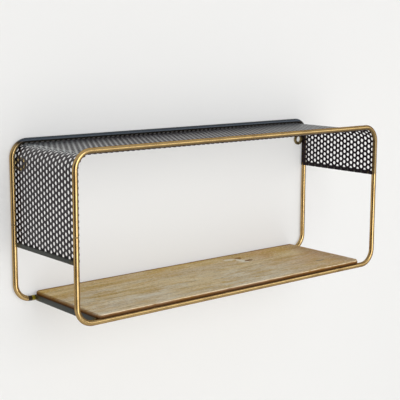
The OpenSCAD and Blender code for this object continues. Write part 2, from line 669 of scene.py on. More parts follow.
@dataclass(frozen=True)
class BlackSheetPaint(Finish):
    """Black paint on punched sheet, matt inside, glossy outside and dusty on top, mostly near the folds; the
    dust's pale bluish tone is partly painted sheen.
    """

    name: str = "black_sheet_paint"
    paint: Colour = tone(26, 11, 24)
    worn: Colour = tone(44, 26, 36)
    dust_and_sheen: Colour = tone(196, 210, 212)
    wear: Wear = Wear(Grain(26.0, 4.0, 0.6), Grain(2200.0, 2.0), 0.7, 0.5, (0.55, 0.9))
    wear_share: float = 0.6
    roughness: Span = (0.4, 0.56)
    specular: float = 0.14

    # The outside, by the depth under its outer skin, on the flat and on the folds
    outer_radius: float = 21 * MM
    flat_skin: Span = (0.2 * MM, 0.02 * MM)
    fold_skin: Span = (0.45 * MM, 0.1 * MM)
    gloss: Span = (0.42, 1.0)
    gloss_roughness: float = 0.18
    gloss_ior: float = 2.0

    # Dust with painted sheen on the top and towards its ends, reaching down the upper folds
    top_z: Span = (0.229, 0.2355)
    right_end_x: Span = (0.02, 0.24)
    left_end_x: Span = (-0.12, -0.27)
    left_end_share: float = 0.8
    cloud_span: Span = (0.2, 0.8)
    dust_and_sheen_share: Span = (0.12, 0.2)
    end_dust_and_sheen_share: float = 0.32
    relief_depth: float = 0.05 * MM
    relief_share: float = 0.6

    def sockets(self, graph: Graph) -> dict[str, Any]:
        """Give the values and links of the shader's sockets."""
        place = graph.place()
        x, _, z = graph.parts(place)
        cloud, grain, worn = self.wear.read(graph, place)
        depth = self.outer_radius - bend_reach(x, z)
        on_fold = (abs(x) > BEND_X) * (z > BEND_Z)
        outside = depth.step(*self.flat_skin).most(depth.step(*self.fold_skin) * on_fold)
        # Dust and painted sheen: a pale bluish tone on the outer top and the upper folds, stronger towards
        # the ends
        top = z.step(*self.top_z)
        ends = x.step(*self.right_end_x).most(x.step(*self.left_end_x) * self.left_end_share)
        dust_and_sheen = cloud.step(*self.cloud_span).between(*self.dust_and_sheen_share) + ends * self.end_dust_and_sheen_share
        colour = graph.mix(worn * self.wear_share, self.paint, self.worn)
        return {
            "Base Color": graph.mix(outside * top * top * dust_and_sheen, colour, self.dust_and_sheen),
            "Roughness": worn.between(*self.roughness),
            "Specular IOR Level": self.specular,
            "Coat Weight": outside * top.between(*self.gloss),
            "Coat Roughness": self.gloss_roughness,
            "Coat IOR": self.gloss_ior,
            "Normal": graph.bump(grain, self.relief_depth, self.relief_share),
        }


@dataclass(frozen=True)
class DarkBarPaint(Finish):
    """Dark grey paint on the bars, burnt and brassy where they are welded to the rods."""

    name: str = "dark_bar_paint"
    paint: Colour = tone(60, 64, 60)
    bare: Colour = tone(92, 82, 66)
    near_black: Colour = tone(26, 22, 18)
    wear: Wear = Wear(Grain(60.0, 4.0, 0.6), Grain(1500.0, 2.0), 0.8, 0.4, (0.62, 0.86))
    wear_share: float = 0.7
    brassy: Stain = Stain(tone(128, 112, 34), (0.42, 0.58), 1.0)
    brassy_grain: Grain = Grain(420.0, 2.0)
    ragged: Grain = Grain(240.0)
    ragged_reach: float = 10 * MM
    burn_y: Span = (0.062, 0.079)
    burn_share: float = 0.75
    bare_metallic: float = 0.3
    burn_metallic: float = 0.25
    roughness: Span = (0.5, 0.6)
    bare_polish: float = 0.1
    relief_depth: float = 0.06 * MM

    def sockets(self, graph: Graph) -> dict[str, Any]:
        """Give the values and links of the shader's sockets."""
        place = graph.place()
        _, y, _ = graph.parts(place)
        cloud, grain, bare = self.wear.read(graph, place)
        ragged = (graph.noise(place, self.ragged) - 0.5) * self.ragged_reach
        burn = (abs(y) + ragged).step(*self.burn_y)
        tint = self.brassy.over(graph, graph.noise(place, self.brassy_grain), self.near_black)
        colour = graph.mix(bare * self.wear_share, self.paint, self.bare)
        return {
            "Base Color": graph.mix(burn * self.burn_share, colour, tint),
            "Metallic": bare * self.bare_metallic + burn * self.burn_metallic,
            "Roughness": cloud.between(*self.roughness) - bare * self.bare_polish,
            "Normal": graph.bump(grain + cloud, self.relief_depth),
        }


@dataclass(frozen=True)
class DarkBrass(Finish):
    """Brown, unpolished brass of the hanging rings and the weld beads."""

    name: str
    metal: Colour = tone(152, 134, 92)
    brown: Colour = tone(80, 68, 42)
    wear: Wear = Wear(Grain(140.0, 4.0, 0.6), Grain(1800.0, 2.0), 0.9, 0.2, (0.4, 0.75))
    metallic: Span = (0.95, 0.7)
    roughness: Span = (0.32, 0.52)
    relief_depth: float = 0.08 * MM

    def sockets(self, graph: Graph) -> dict[str, Any]:
        """Give the values and links of the shader's sockets."""
        cloud, grain, dull = self.wear.read(graph, graph.place())
        return {
            "Base Color": graph.mix(dull, self.metal, self.brown),
            "Metallic": dull.between(*self.metallic),
            "Roughness": dull.between(*self.roughness),
            "Normal": graph.bump(grain + cloud, self.relief_depth),
        }


@dataclass(frozen=True)
class ZincSteel(Finish):
    """Zinc-plated steel of the plank screws."""

    name: str = "zinc_steel"
    bright: Colour = tone(176, 178, 176)
    dull: Stain = Stain(tone(112, 110, 104), (0.35, 0.7), 1.0)
    cloud: Grain = Grain(420.0, 4.0)
    roughness: Span = (0.3, 0.55)
    relief_depth: float = 0.03 * MM

    def sockets(self, graph: Graph) -> dict[str, Any]:
        """Give the values and links of the shader's sockets."""
        cloud = graph.noise(graph.place(), self.cloud)
        return {
            "Base Color": self.dull.over(graph, cloud, self.bright),
            "Metallic": 1.0,
            "Roughness": cloud.between(*self.roughness),
            "Normal": graph.bump(cloud, self.relief_depth),
        }


@dataclass(frozen=True)
class RoughSawnWood(Finish):
    """Weathered softwood with the grain along X, greyed towards the front, with a knot and worn edges, a
    painted pool of light in the middle of the top and painted shade on its sides, rims and underside.

    The corners of the plank's box come first. The marks are, in order, the pale line behind the knot, the
    knot, the torn grain before it, the knot's core and a scar.
    """

    low: tuple[float, float, float]
    high: tuple[float, float, float]
    name: str = "rough_sawn_wood"
    early: Colour = tone(234, 210, 158)
    late: Colour = tone(206, 174, 112)
    streak: Colour = tone(130, 100, 58)
    pale: Colour = tone(244, 236, 216)
    edge: Colour = tone(120, 74, 12)
    gold: Colour = tone(204, 166, 80)
    ochre: Colour = tone(220, 182, 92)
    ruddy: Colour = tone(208, 158, 100)
    painted_light_pale: Colour = tone(244, 228, 190)
    raw_wood_and_highlight: Colour = tone(232, 212, 176)
    underside_shade: Colour = tone(66, 38, 6)

    # Growth rings and saw marks
    sway: Grain = Grain((2.4, 11.0, 11.0))
    ring_gap: float = 11 * MM
    ring_sway: float = 6.0
    knot: Spot = Spot(0.114, 0.0535, 0.007, 0.006)
    knot_grow: float = 3.5
    knot_bend: float = 2.2
    saw_gap: float = 2.7 * MM
    saw_slant: float = 60.0
    saw_sway: float = 3.0
    band_share: float = 0.3
    broad: Grain = Grain((6.0, 80.0, 80.0), 3.0, 0.6)
    broad_span: Span = (0.4, 0.65)
    broad_share: float = 0.4

    # Streaks, fibres and specks
    fibre: Grain = Grain((26.0, 620.0, 620.0), 4.0, 0.65)
    mottle: Grain = Grain((42.0, 130.0, 130.0), 4.0, 0.7)
    speck: Grain = Grain((210.0, 360.0, 360.0), 3.0, 0.7)
    honey_grain: Grain = Grain((13.0, 56.0, 56.0), 4.0, 0.6)
    honey: Stain = Stain(gold, (0.48, 0.58), 0.9)
    line_grain: Grain = Grain((9.0, 190.0, 190.0), 3.0, 0.6)
    lines: Stain = Stain(streak, (0.5, 0.66), 0.35)
    fibres: Stain = Stain(streak, (0.5, 0.74), 0.55)
    dark_specks: Stain = Stain(streak, (0.54, 0.7), 0.6)
    pale_specks: Stain = Stain(pale, (0.46, 0.3), 0.7)
    jitter: tuple[float, float] = (20 * MM, 12 * MM)
    marks: tuple[tuple[Spot, Stain], ...] = (
        (Spot(0.093, 0.053, 0.014, 0.006), Stain(pale, (0.25, 0.6), 0.8)),
        (knot, Stain(tone(140, 96, 30), (0.25, 0.6), 0.8)),
        (Spot(0.108, 0.037, 0.0065, 0.0155), Stain(pale, (0.25, 0.5), 0.9)),
        (Spot(0.118, 0.031, 0.0085, 0.0045), Stain(edge, (0.25, 0.5), 0.9)),
        (Spot(0.213, -0.045, 0.011, 0.0045), Stain(tone(132, 116, 102), (0.25, 0.6), 0.6)),
    )

    # Weathering of the top, and a painted pool of light in its middle
    weather: Grain = Grain((8.0, 36.0, 36.0), 4.0, 0.65)
    gilt: Grain = Grain((11.0, 64.0, 64.0), 4.0, 0.65)
    gilt_span: Span = (0.48, 0.6)
    gilt_share: float = 0.42
    ochre_start_y: float = 0.03
    ochre_share: Span = (0.35, 0.85)
    middle_painted_light: Spot = Spot(0.01, -0.012, 0.21, 0.075)
    middle_painted_light_share: float = 0.55
    ruddy_grain: Grain = Grain((7.0, 34.0, 34.0), 3.0, 0.6)
    ruddy_span: Span = (0.42, 0.62)
    ruddy_x: Span = (0.06, 0.2)
    ruddy_share: Span = (0.25, 0.65)
    front_y: Span = (0.075, -0.05)
    front_share: Span = (0.15, 0.9)
    left_x: Span = (0.2, 0.02)
    left_share: Span = (0.35, 1.0)
    grey: Stain = Stain(tone(230, 220, 194), (0.44, 0.56), 0.95)
    washed: Spot = Spot(-0.19, -0.068, 0.11, 0.03)
    washed_span: Span = (0.1, 0.6)
    wash: Stain = Stain(pale, (0.3, 0.5), 0.45)
    dulled: Stain = Stain(tone(158, 118, 88), (0.215, 0.262), 0.5)
    flecks: Stain = Stain(pale, (0.55, 0.68), 0.8)
    fleck_weights: tuple[float, float] = (0.5, 0.6)

    # Edges, by the distance from each side of the board: dark sides, partly painted shade, a darker rear
    # rim, painted shade on the left rim and low on the sides and underside, and raw wood with a painted
    # highlight on the front rim
    inner_edge: Span = (1 * MM, 6 * MM)
    under_depth: Span = (2 * MM, 3 * MM)
    side_depth: Span = (0.8 * MM, 1.6 * MM)
    rear_rim: Span = (8 * MM, 3 * MM)
    rear_rim_share: float = 0.9
    left_rim: Span = (4 * MM, 1 * MM)
    left_rim_share: float = 0.7
    edge_share: float = 0.9
    underside_shade_height: Span = (3.8 * MM, 1.8 * MM)
    underside_shade_share: Span = (0.85, 0.25)
    front_rim: Span = (3.4 * MM, 1 * MM)
    front_rim_depth: Span = (1.8 * MM, 0.7 * MM)
    broken: Grain = Grain((60.0, 300.0, 300.0), 4.0, 0.7)
    broken_span: Span = (0.42, 0.54)
    raw_wood_and_highlight_share: float = 0.95

    # Surface, with the relief of fibres, rings, saw marks, broad waves, mottle and specks
    roughness: Span = (0.7, 0.9)
    specular: float = 0.12
    relief: tuple[float, ...] = (0.6, 0.25, 0.2, 0.3, 0.5, 0.3)
    relief_depth: float = 0.5 * MM
    relief_share: float = 0.8

    def sockets(self, graph: Graph) -> dict[str, Any]:
        """Give the values and links of the shader's sockets."""
        place = graph.place()
        x, y, _ = graph.parts(place)
        grains = (self.sway, self.fibre, self.broad, self.mottle, self.speck)
        sway, fibre, broad, mottle, speck = [graph.noise(place, grain) for grain in grains]
        bend = self.knot.share(x, y, self.knot_grow) * self.knot_bend
        band = (y / self.ring_gap + sway * self.ring_sway + bend).wave() ** 2.0
        saw = (x / self.saw_gap + y * self.saw_slant + sway * self.saw_sway).wave()
        late = band * self.band_share + broad.step(*self.broad_span) * self.broad_share
        colour = graph.mix(late, self.early, self.late)
        colour = self.honey.over(graph, graph.noise(place, self.honey_grain), colour)
        colour = self.lines.over(graph, graph.noise(place, self.line_grain), colour)
        colour = self._weathered(graph, place, colour, mottle)
        colour = self.fibres.over(graph, fibre, colour)
        colour = self.dark_specks.over(graph, speck, colour)
        colour = self.pale_specks.over(graph, speck, colour)
        torn_x, torn_y = [way + (mottle - 0.5) * reach for way, reach in zip((x, y), self.jitter)]
        for spot, stain in self.marks:
            colour = stain.over(graph, spot.share(torn_x, torn_y), colour)
        height = weighted((fibre, band, saw, broad, mottle, speck), self.relief)
        return {
            "Base Color": self._worn(graph, place, colour),
            "Roughness": fibre.between(*self.roughness),
            "Specular IOR Level": self.specular,
            "Normal": graph.bump(height, self.relief_depth, self.relief_share),
        }

    def _weathered(self, graph: Graph, place: Value, colour: Value, mottle: Value) -> Value:
        """Grey the top in patches, mostly near the front, paint a pale pool of light in its middle, and
        leave it golden near the wall.

        Args:
            graph: The material's graph.
            place: The point on the piece.
            colour: The colour so far.
            mottle: A noise that breaks up the patches.

        Returns:
            The weathered colour.
        """
        x, y, _ = graph.parts(place)
        weather = graph.noise(place, self.weather)
        gilt = graph.noise(place, self.gilt).step(*self.gilt_span)
        ruddy = graph.noise(place, self.ruddy_grain).step(*self.ruddy_span)
        near_rear = y.step(self.ochre_start_y, self.high[1])
        near_front = y.step(*self.front_y).between(*self.front_share)
        near_front = near_front * x.step(*self.left_x).between(*self.left_share)
        colour = graph.mix(near_rear * gilt.between(*self.ochre_share), colour, self.ochre)
        # Painted light: a pale pool in the middle of the top, under the sheet
        colour = graph.mix(self.middle_painted_light.share(x, y) * self.middle_painted_light_share, colour, self.painted_light_pale)
        colour = graph.mix(ruddy * x.step(*self.ruddy_x).between(*self.ruddy_share), colour, self.ruddy)
        colour = self.grey.over(graph, weather, colour, near_front)
        colour = self.wash.over(graph, weather, colour, self.washed.share(x, y).step(*self.washed_span))
        colour = graph.mix(gilt * self.gilt_share, colour, self.gold)
        colour = self.dulled.over(graph, x, colour)
        return self.flecks.over(graph, weighted((weather, mottle), self.fleck_weights), colour, near_front)

    def _worn(self, graph: Graph, place: Value, colour: Value) -> Value:
        """Darken the sides and the rims, the left rim and the lowest sides and underside as painted shade,
        and show raw wood with a painted highlight along the front rim.

        Args:
            graph: The material's graph.
            place: The point on the piece.
            colour: The colour so far.

        Returns:
            The worn colour.
        """
        x, y, z = graph.parts(place)
        left, front, height = x - self.low[0], y - self.low[1], z - self.low[2]
        right, rear, depth = self.high[0] - x, self.high[1] - y, self.high[2] - z
        under = depth.step(*self.under_depth)
        for distance in (left, right, front, rear):
            under = under * distance.step(*self.inner_edge)
        side = depth.step(*self.side_depth) * (1 - under)
        side = side.most(rear.step(*self.rear_rim) * self.rear_rim_share)
        side = side.most(left.step(*self.left_rim) * self.left_rim_share)
        # Dark sides, partly the wood's own tone and partly painted shade; the left rim's darkening is
        # painted shade
        colour = graph.mix(side * self.edge_share, colour, self.edge)
        # Painted shade: darkest on the lowest few millimetres of the sides, lighter on the underside
        underside_shade = height.step(*self.underside_shade_height) * under.between(*self.underside_shade_share)
        colour = graph.mix(underside_shade, colour, self.underside_shade)
        # Raw wood along the broken front rim, partly a painted highlight
        rim = front.step(*self.front_rim) * depth.step(*self.front_rim_depth)
        broken = graph.noise(place, self.broken).step(*self.broken_span)
        return graph.mix(rim * broken * self.raw_wood_and_highlight_share, colour, self.raw_wood_and_highlight)


def mount_radius(name: str) -> float:
    """Read a bore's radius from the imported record.

    Args:
        name: The mount's name.

    Returns:
        The radius in metres.
    """
    mounts = {mount["name"]: mount for mount in frame["record"]["mounts"]}
    return mounts[name]["dims"]["r_mm"] * MM


def new_piece(name: str, shape: bmesh.types.BMesh, material: bpy.types.Material) -> bpy.types.Object:
    """Turn a finished mesh into an object of the scene.

    Args:
        name: The piece's name.
        shape: The mesh, in the model's frame, which is freed.
        material: What the piece is dressed in.

    Returns:
        The new object.
    """
    mesh = bpy.data.meshes.new(name)
    shape.to_mesh(mesh)
    shape.free()
    mesh.materials.append(material)
    piece = bpy.data.objects.new(name, mesh)
    bpy.context.scene.collection.objects.link(piece)
    return piece


def settle(piece: bpy.types.Object, slot: Slot, *nodes: str) -> bpy.types.Object:
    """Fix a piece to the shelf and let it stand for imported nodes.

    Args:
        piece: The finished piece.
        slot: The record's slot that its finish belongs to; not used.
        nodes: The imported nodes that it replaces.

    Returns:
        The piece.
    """
    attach(piece, BODY)
    if nodes:
        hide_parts(*nodes)
    return piece


def round_off(shape: bmesh.types.BMesh, sharp_degrees: float = SHARP_DEGREES) -> None:
    """Shade a mesh smoothly, apart from its sharp edges.

    Args:
        shape: The mesh to shade.
        sharp_degrees: The fold angle from which an edge stays sharp.
    """
    for face in shape.faces:
        face.smooth = True
    for edge in shape.edges:
        if edge.is_manifold:
            edge.smooth = edge.calc_face_angle() < math.radians(sharp_degrees)


class Recipe:
    """A Geometry Nodes tree with named inputs, which is run once and leaves a plain mesh."""

    def __init__(self, name: str, sizes: Mapping[str, Number]) -> None:
        """Start a tree with an input for each size."""
        self.name = name
        self.sizes = sizes
        self.tree = bpy.data.node_groups.new(name, "GeometryNodeTree")
        sides = self.tree.interface
        sides.new_socket("Places", in_out="INPUT", socket_type="NodeSocketGeometry")
        for label, size in sizes.items():
            kind = "NodeSocketInt" if isinstance(size, int) else "NodeSocketFloat"
            sides.new_socket(label, in_out="INPUT", socket_type=kind)
        sides.new_socket("Geometry", in_out="OUTPUT", socket_type="NodeSocketGeometry")
        self.graph = Graph(self.tree)
        self.entry = self.graph.node("NodeGroupInput").socket.node

    def size(self, label: str) -> Value:
        """Give the socket of a named input."""
        return Value(self.graph, self.entry.outputs[label])

    def position(self) -> tuple[Value, Value, Value]:
        """Give the X, Y and Z of each point of the shape that they are used on."""
        return self.graph.parts(self.graph.node("GeometryNodeInputPosition"))

    def circle(self, sides: str, radius: Value) -> Value:
        """Draw a circle, with a named input as its number of sides."""
        feeds = {"Resolution": self.size(sides), "Radius": radius}
        return self.graph.node("GeometryNodeCurvePrimitiveCircle", {"mode": "RADIUS"}, feeds)

    def rectangle(self, width: str, height: str) -> Value:
        """Draw a rectangle, with named inputs as its sides."""
        feeds = {"Width": self.size(width), "Height": self.size(height)}
        return self.graph.node("GeometryNodeCurvePrimitiveQuadrilateral", {"mode": "RECTANGLE"}, feeds)

    def move(self, shape: Value, offset: Value) -> Value:
        """Move the points of a shape, each by its own offset."""
        return self.graph.node("GeometryNodeSetPosition", inputs={"Geometry": shape, "Offset": offset})

    def repeat(self, thing: Value, scale: Union[Value, Number] = 1.0) -> Value:
        """Put a copy of a thing on each of the places.

        Args:
            thing: The thing to repeat.
            scale: How large each copy is.

        Returns:
            The copies, as one mesh.
        """
        feeds = {"Points": self.size("Places"), "Instance": thing}
        feeds["Scale"] = self.graph.vector(scale, scale, scale)
        placed = self.graph.node("GeometryNodeInstanceOnPoints", inputs=feeds)
        return self.graph.node("GeometryNodeRealizeInstances", inputs={0: placed})

    def smooth(self, shape: Value, sharp_degrees: float = SHARP_DEGREES) -> Value:
        """Shade a mesh smoothly, apart from its sharp edges.

        Args:
            shape: The mesh.
            sharp_degrees: The fold angle from which an edge stays sharp.

        Returns:
            The shaded mesh.
        """
        fold = self.graph.node("GeometryNodeInputMeshEdgeAngle")
        sharp = fold > math.radians(sharp_degrees)
        settings = {"data_type": "BOOLEAN", "domain": "EDGE"}
        feeds = {"Geometry": shape, "Name": "sharp_edge", "Value": sharp}
        marked = self.graph.node("GeometryNodeStoreNamedAttribute", settings, feeds)
        return self.graph.node("GeometryNodeSetShadeSmooth", inputs={"Geometry": marked})

    def bake(self, shape: Value, finish: Finish, places: Sequence[Vector] = ()) -> bpy.types.Object:
        """Run the tree and keep its result as a plain mesh.

        Args:
            shape: What the tree makes.
            finish: What the piece is dressed in.
            places: Points that the tree repeats things on.

        Returns:
            The new object, with no modifier left.
        """
        real = self.graph.node("GeometryNodeRealizeInstances", inputs={0: shape})
        feeds = {"Geometry": real, "Material": finish.material()}
        dressed = self.graph.node("GeometryNodeSetMaterial", inputs=feeds)
        self.graph.node("NodeGroupOutput", inputs={0: dressed})
        start = bpy.data.meshes.new(self.name)
        start.from_pydata([tuple(place) for place in places], [], [])
        piece = bpy.data.objects.new(self.name, start)
        bpy.context.scene.collection.objects.link(piece)
        modifier = piece.modifiers.new(self.name, "NODES")
        modifier.node_group = self.tree
        for item in self.tree.interface.items_tree:
            if item.name in self.sizes:
                modifier[item.identifier] = self.sizes[item.name]
        evaluated = piece.evaluated_get(bpy.context.evaluated_depsgraph_get())
        mesh = bpy.data.meshes.new_from_object(evaluated)
        piece.modifiers.remove(modifier)
        piece.data = mesh
        mesh.name = self.name
        return piece


class Assembly(ABC):
    """A group of pieces that are made and dressed together."""

    @abstractmethod
    def build(self) -> Iterator[bpy.types.Object]:
        """Make the pieces, dress them and fix them to the shelf."""


@dataclass
class RodFrame(Assembly):
    """One closed loop of bent rod."""

    sizes: ShelfSizes
    face: Face
    finish: AgedBrass
    bend_steps: int = 24
    rod_sides: int = 32
    sharp_degrees: float = 60.0

    def build(self) -> Iterator[bpy.types.Object]:
        """Sweep the rod round its loop."""
        sizes = self.sizes
        node = f"{self.face.name.lower()}_frame"
        recipe = Recipe(f"{node}_rod", {
            "Width": 2 * sizes.frame_x,
            "Height": sizes.high_z - sizes.low_z,
            "Corner radius": sizes.corner_radius,
            "Rod radius": sizes.rod_radius,
            "Depth": self.face.value * sizes.frame_y,
            "Middle height": (sizes.high_z + sizes.low_z) / 2,
            "Bend steps": self.bend_steps,
            "Rod sides": self.rod_sides,
        })
        graph, size = recipe.graph, recipe.size
        outline = recipe.rectangle("Width", "Height")
        bends = {"Curve": outline, "Count": size("Bend steps"), "Radius": size("Corner radius")}
        loop = graph.node("GeometryNodeFilletCurve", {"mode": "POLY"}, bends)
        upright = graph.node("GeometryNodeTransform", inputs={
            "Geometry": loop,
            "Rotation": (math.pi / 2, 0, 0),
            "Translation": graph.vector(0, size("Depth"), size("Middle height")),
        })
        section = recipe.circle("Rod sides", size("Rod radius"))
        rod = graph.node("GeometryNodeCurveToMesh", inputs={"Curve": upright, "Profile Curve": section})
        piece = recipe.bake(recipe.smooth(rod, self.sharp_degrees), self.finish)
        yield settle(piece, Slot.ROD, node)


@dataclass
class PerforatedSheet(Assembly):
    """The punched sheet, drawn flat, cut through its outer holes and folded over the top."""

    sizes: ShelfSizes
    finish: BlackSheetPaint
    thickness: float = 1.2 * MM
    hole_diameter: float = 6 * MM
    hole_pitch: float = 9 * MM
    hole_sides: int = 16
    weld_distance: float = 0.005 * MM

    def build(self) -> Iterator[bpy.types.Object]:
        """Punch, trim, thicken and fold the sheet."""
        low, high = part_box("perforated_sheet")
        fold_radius = high.x - self.sizes.bend_x
        fold_length = (fold_radius - self.thickness / 2) * math.pi / 2
        left_length = self.sizes.bend_high_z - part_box("left_side_bar")[0].z
        right_length = self.sizes.bend_high_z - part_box("right_side_bar")[0].z
        top_length = 2 * self.sizes.bend_x
        length = left_length + fold_length + top_length + fold_length + right_length
        line_step = self.hole_pitch * math.sqrt(3) / 2
        recipe = Recipe("punched_sheet", {
            "Length": length,
            "Depth": high.y - low.y,
            "Thickness": self.thickness,
            "Hole diameter": self.hole_diameter,
            "Hole pitch": self.hole_pitch,
            "Line step": line_step,
            "Holes in a line": int(length / self.hole_pitch),
            "Lines": math.ceil((high.y - low.y) / line_step),
            "Hole sides": self.hole_sides,
            "Left length": left_length,
            "Fold length": fold_length,
            "Top length": top_length,
            "Fold radius": fold_radius,
            "Fold height": self.sizes.bend_high_z,
        })
        solid = self._thicken(recipe, self._punch(recipe))
        piece = recipe.bake(recipe.smooth(self._fold(recipe, solid)), self.finish)
        yield settle(piece, Slot.SHEET, "perforated_sheet")

    def _punch(self, recipe: Recipe) -> Value:
        """Draw the flat sheet with its staggered holes.

        Args:
            recipe: The tree to add to.

        Returns:
            The sheet's outer face, with X from its left end.
        """
        graph, size = recipe.graph, recipe.size
        pitch, step = size("Hole pitch"), size("Line step")
        columns, lines = size("Holes in a line"), size("Lines")
        grid = graph.node("GeometryNodeMeshGrid", inputs={
            "Size X": (columns - 1) * pitch,
            "Size Y": (lines - 1) * step,
            "Vertices X": columns,
            "Vertices Y": lines,
        })
        _, y, _ = recipe.position()
        odd = ((y / step + lines / 2) % 2) > 1
        stagger = graph.vector(columns * pitch / 2 + (odd - 0.5) * pitch / 2, 0, 0)
        points = recipe.move(grid, stagger)
        rim = recipe.circle("Hole sides", size("Hole diameter") / 2)
        rims = graph.node("GeometryNodeInstanceOnPoints", inputs={"Points": points, "Instance": rim})
        outline = recipe.rectangle("Length", "Depth")
        shift = graph.vector(size("Length") / 2, 0, 0)
        outline = graph.node("GeometryNodeTransform", inputs={"Geometry": outline, "Translation": shift})
        curves = graph.node("GeometryNodeJoinGeometry", inputs={0: [rims, outline]})
        curves = graph.node("GeometryNodeRealizeInstances", inputs={0: curves})
        filled = graph.node("GeometryNodeFillCurve", {"mode": "TRIANGLES"}, {"Curve": curves})
        x, y, _ = recipe.position()
        outside = (abs(y) > size("Depth") / 2).most(x < 0).most(x > size("Length"))
        feeds = {"Geometry": filled, "Selection": outside}
        return graph.node("GeometryNodeDeleteGeometry", {"domain": "FACE"}, feeds)

    def _thicken(self, recipe: Recipe, skin: Value) -> Value:
        """Give the flat sheet its thickness, below its outer face.

        Args:
            recipe: The tree to add to.
            skin: The sheet's outer face.

        Returns:
            The closed flat sheet.
        """
        graph, size = recipe.graph, recipe.size
        inner = recipe.move(skin, graph.vector(0, 0, -size("Thickness")))
        outer = graph.node("GeometryNodeExtrudeMesh", {"mode": "FACES"}, {
            "Mesh": inner,
            "Offset": (0, 0, 1),
            "Offset Scale": size("Thickness"),
            "Individual": False,
        })
        inner = graph.node("GeometryNodeFlipFaces", inputs={"Mesh": inner})
        both = graph.node("GeometryNodeJoinGeometry", inputs={0: [outer, inner]})
        feeds = {"Geometry": both, "Distance": self.weld_distance}
        return graph.node("GeometryNodeMergeByDistance", inputs=feeds)

    def _fold(self, recipe: Recipe, flat: Value) -> Value:
        """Fold the flat sheet down at both ends of the top.

        Args:
            recipe: The tree to add to.
            flat: The flat sheet.

        Returns:
            The folded sheet, in the model's frame.
        """
        graph, size = recipe.graph, recipe.size
        run, y, height = recipe.position()
        fold, top = size("Fold length"), size("Top length")
        past_left = run - size("Left length")
        past_top = past_left - fold
        past_fold = past_top - top
        past_right = past_fold - fold
        left_turn = (past_left / fold).most(0).least(1) * (math.pi / 2)
        right_turn = (past_fold / fold).most(0).least(1) * (math.pi / 2)
        radius = size("Fold radius") + height
        x = past_top.most(0).least(top) - top / 2
        x = x - radius * left_turn.cosine() + radius * right_turn.sine()
        z = size("Fold height") + past_left.least(0) - past_right.most(0)
        z = z + radius * left_turn.sine() + radius * right_turn.cosine() - radius
        feeds = {"Geometry": flat, "Position": graph.vector(x, y, z)}
        return graph.node("GeometryNodeSetPosition", inputs=feeds)


@dataclass
class RearShadeStrip(Assembly):
    """A black strip along the sheet's rear edge, under the rod, put there as painted shade in the gap."""

    sizes: ShelfSizes
    finish: BlackSheetPaint
    radius: float = 0.9 * MM
    sink: float = 0.3 * MM
    sides: int = 12
    bend_steps: int = 16
    sharp_degrees: float = 60.0

    def build(self) -> Iterator[bpy.types.Object]:
        """Sweep the strip along the edge."""
        recipe = Recipe("rear_seam", {"Seam radius": self.radius, "Seam sides": self.sides})
        graph, size = recipe.graph, recipe.size
        points = graph.node("GeometryNodeMeshToPoints", inputs={"Mesh": size("Places")})
        path = graph.node("GeometryNodePointsToCurves", inputs={"Points": points})
        section = recipe.circle("Seam sides", size("Seam radius"))
        feeds = {"Curve": path, "Profile Curve": section, "Fill Caps": True}
        seam = graph.node("GeometryNodeCurveToMesh", inputs=feeds)
        piece = recipe.bake(recipe.smooth(seam, self.sharp_degrees), self.finish, list(self._path()))
        yield settle(piece, Slot.SHEET)

    def _path(self) -> Iterator[Vector]:
        """Give the points of the sheet's rear edge, from its left end to its right end."""
        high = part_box("perforated_sheet")[1]
        y = high.y + self.radius
        bend_x, bend_z = self.sizes.bend_x, self.sizes.bend_high_z
        reach = high.x - bend_x - self.sink
        yield Vector((-bend_x - reach, y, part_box("left_side_bar")[0].z))
        for end in End:
            for k in range(self.bend_steps + 1):
                turn = math.pi / 2 * k / self.bend_steps
                turn = turn if end is End.LEFT else math.pi / 2 - turn
                along = end.value * (bend_x + reach * math.cos(turn))
                yield Vector((along, y, bend_z + reach * math.sin(turn)))
        yield Vector((bend_x + reach, y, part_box("right_side_bar")[0].z))


@dataclass
class CrossBars(Assembly):
    """The bars between the frames, with their edges eased."""

    finish: DarkBarPaint
    ease: float = 0.5 * MM
    ease_steps: int = 2
    merge_distance: float = 0.001 * MM
    flat_degrees: float = 1.0
    eased_degrees: float = 40.0
    nodes: tuple[str, ...] = (
        "left_side_bar", "right_side_bar", "left_base_bar", "centre_base_bar", "right_base_bar",
    )

    def build(self) -> Iterator[bpy.types.Object]:
        """Ease the edges of each bar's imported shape."""
        for node in self.nodes:
            piece = new_piece(f"{node}_eased", self._eased(node), self.finish.material())
            yield settle(piece, Slot.BAR, node)

    def _eased(self, node: str) -> bmesh.types.BMesh:
        """Copy a node's mesh and round its sharp edges.

        Args:
            node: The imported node.

        Returns:
            The rounded copy.
        """
        shape = bmesh.new()
        shape.from_mesh(frame["nodes"][node].data)
        bmesh.ops.remove_doubles(shape, verts=shape.verts, dist=self.merge_distance)
        flat = math.radians(self.flat_degrees)
        bmesh.ops.dissolve_limit(shape, angle_limit=flat, verts=shape.verts, edges=shape.edges)
        least = math.radians(self.eased_degrees)
        sharp = [edge for edge in shape.edges if edge.is_manifold and edge.calc_face_angle() > least]
        bmesh.ops.bevel(
            shape, geom=sharp, offset=self.ease, segments=self.ease_steps, profile=0.5,
            affect="EDGES", clamp_overlap=True,
        )
        round_off(shape)
        return shape


@dataclass(frozen=True)
class Chip:
    """A piece broken out of the plank's edge or corner."""

    x: float
    y: float
    reach: float
    depth: float


